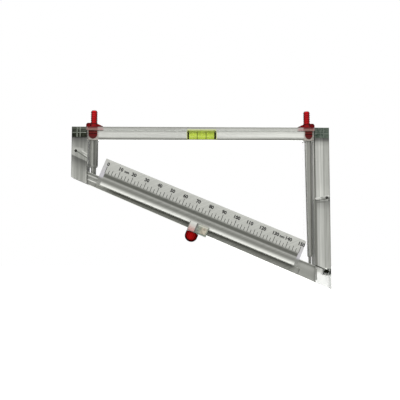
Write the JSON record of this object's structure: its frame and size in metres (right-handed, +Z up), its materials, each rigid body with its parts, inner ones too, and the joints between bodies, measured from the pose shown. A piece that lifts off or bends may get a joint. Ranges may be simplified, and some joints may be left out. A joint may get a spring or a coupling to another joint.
{
  "type": "inclined manometer",
  "caption": "Hand-sized inclined liquid manometer in a clear trapezoid frame, with a spirit level, a sliding scale with a thumb clamp, and turnable hose connectors.",
  "frame": {"origin": "middle of the flat back of the top strip, in the plane that rests on a wall", "axes": "+X to the right as seen from the scale side, +Z up, the scale faces -Y"},
  "size_m": [0.1862, 0.0154, 0.1297],
  "materials": {
    "clear_acrylic": "polished faces, sawn ends",
    "red_plastic": "moulded, slightly worn",
    "black_rubber": "matte",
    "black_magnet": "ground ferrite",
    "white_nylon": "turned",
    "vial_glass": "drawn glass",
    "vial_fluid": "clear dyed spirit",
    "pale_card": "matte",
    "black_plastic": "moulded",
    "scale_plastic": "satin, printed",
    "grey_plastic": "extruded",
    "cloudy_plastic": "cloudy, moulded",
    "brass": "knurled insert",
    "steel": "plain"
  },
  "bodies": {
    "frame": {"top_strip": "clear_acrylic", "top_bar": "clear_acrylic", "left_end_block": "clear_acrylic", "right_end_block": "clear_acrylic", "incline_bar": "clear_acrylic", "left_well_tube": "clear_acrylic", "right_well_tube": "clear_acrylic", "left_tube_seal": "black_rubber", "right_tube_seal": "black_rubber", "left_valve_seat": "white_nylon", "right_valve_seat": "white_nylon", "left_magnet": "black_magnet", "right_magnet": "black_magnet", "level_vial": "vial_glass", "level_fluid": "vial_fluid", "level_left_cap": "black_rubber", "level_right_cap": "black_rubber", "level_backing": "pale_card", "drain_plug": "black_plastic", "drain_washer": "black_rubber"},
    "scale": {"scale_plate": "scale_plastic", "guide_rail": "grey_plastic", "clamp_block": "cloudy_plastic", "clamp_insert": "brass"},
    "clamp_pad": {"clamp_pad": "white_nylon"},
    "clamp_screw": {"clamp_stud": "steel", "clamp_knob": "red_plastic"},
    "left_ring": {"left_valve_ring": "black_rubber"},
    "left_connector": {"left_hose_connector": "red_plastic"},
    "right_ring": {"right_valve_ring": "black_rubber"},
    "right_connector": {"right_hose_connector": "red_plastic"}
  },
  "joints": [
    {"name": "scale_slide", "type": "slide", "parent": "frame", "child": "scale", "axis": [0.9242, 0, -0.3819], "range_m": [-0.004, 0.004]},
    {"name": "clamp_pad_travel", "type": "slide", "parent": "scale", "child": "clamp_pad", "axis": [-0.3819, 0, -0.9242], "range_m": [0, 0.0005]},
    {"name": "clamp_screw_turn", "type": "hinge", "parent": "clamp_pad", "child": "clamp_screw", "pos_m": [-0.00692, -0.007, -0.07709], "axis": [-0.3819, 0, -0.9242], "range_deg": [0, 360]},
    {"name": "left_valve_lift", "type": "slide", "parent": "frame", "child": "left_ring", "axis": [0, 0, 1], "range_m": [0, 0.0005]},
    {"name": "left_connector_turn", "type": "hinge", "parent": "left_ring", "child": "left_connector", "pos_m": [-0.0782, -0.007, 0.0012], "axis": [0, 0, 1], "range_deg": [0, 180]},
    {"name": "right_valve_lift", "type": "slide", "parent": "frame", "child": "right_ring", "axis": [0, 0, 1], "range_m": [0, 0.0005]},
    {"name": "right_connector_turn", "type": "hinge", "parent": "right_ring", "child": "right_connector", "pos_m": [0.0782, -0.007, 0.0012], "axis": [0, 0, 1], "range_deg": [0, 180]}
  ],
  "couplings": [
    {"joint": "clamp_screw_turn", "follows": "clamp_pad_travel", "rad_per_m": 12566},
    {"joint": "left_connector_turn", "follows": "left_valve_lift", "rad_per_m": 6283.2},
    {"joint": "right_connector_turn", "follows": "right_valve_lift", "rad_per_m": 6283.2}
  ]
}
